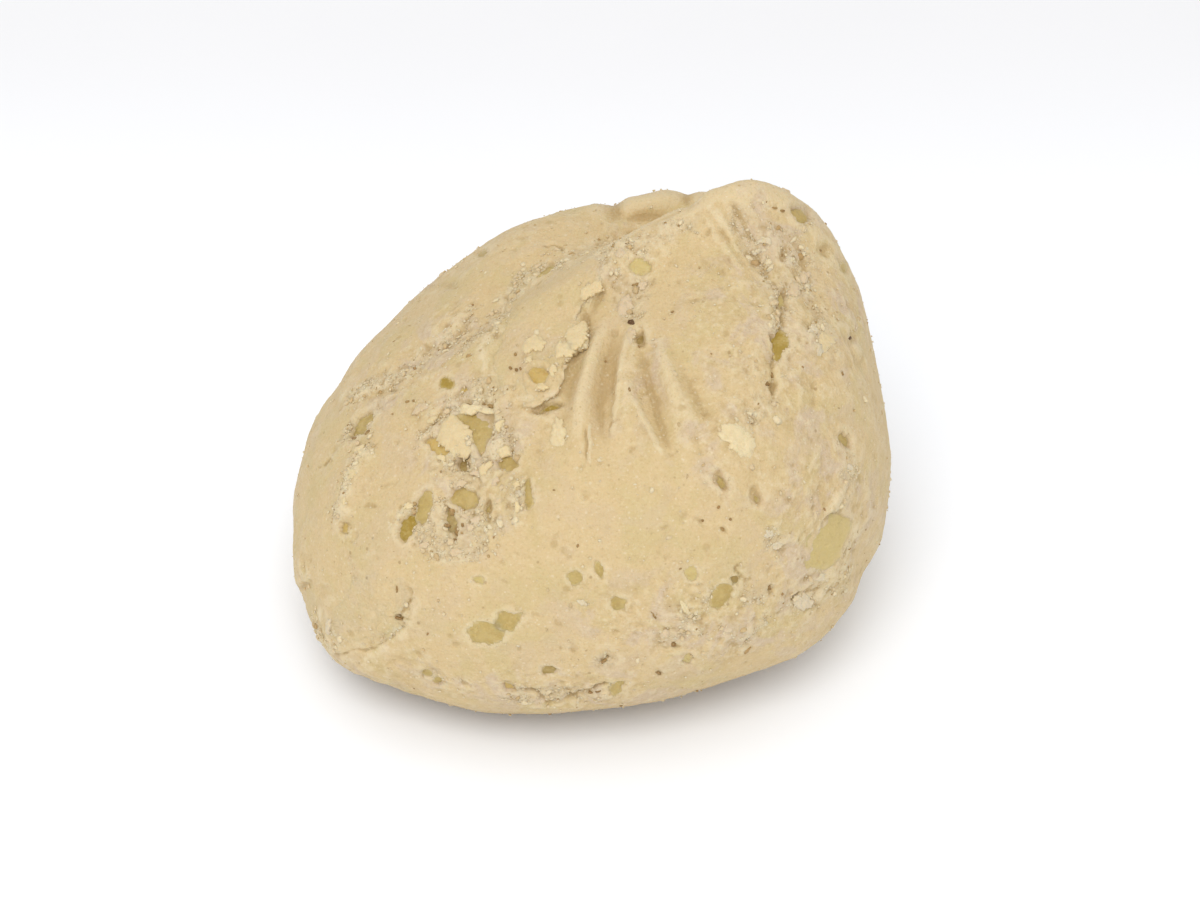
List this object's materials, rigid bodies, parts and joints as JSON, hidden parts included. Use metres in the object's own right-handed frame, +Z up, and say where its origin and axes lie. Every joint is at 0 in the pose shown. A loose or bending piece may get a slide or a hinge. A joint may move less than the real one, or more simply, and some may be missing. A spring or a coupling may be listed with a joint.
{
  "type": "kurikinton",
  "caption": "Lump of sweet chestnut paste squeezed in a cloth, with a gathered, pinched tip, folds down its front and a small flat spot to rest on.",
  "frame": {"origin": "middle of the lump's plan, on the plane of the flat spot that it rests on", "axes": "+X along the longest side, towards the high shoulder with the pinched tip, +Y towards the smooth back, +Z up"},
  "size_m": [0.0418, 0.0394, 0.032],
  "materials": {
    "paste": "matte, fine grained"
  },
  "bodies": {
    "root": {"paste": "paste"}
  },
  "joints": []
}
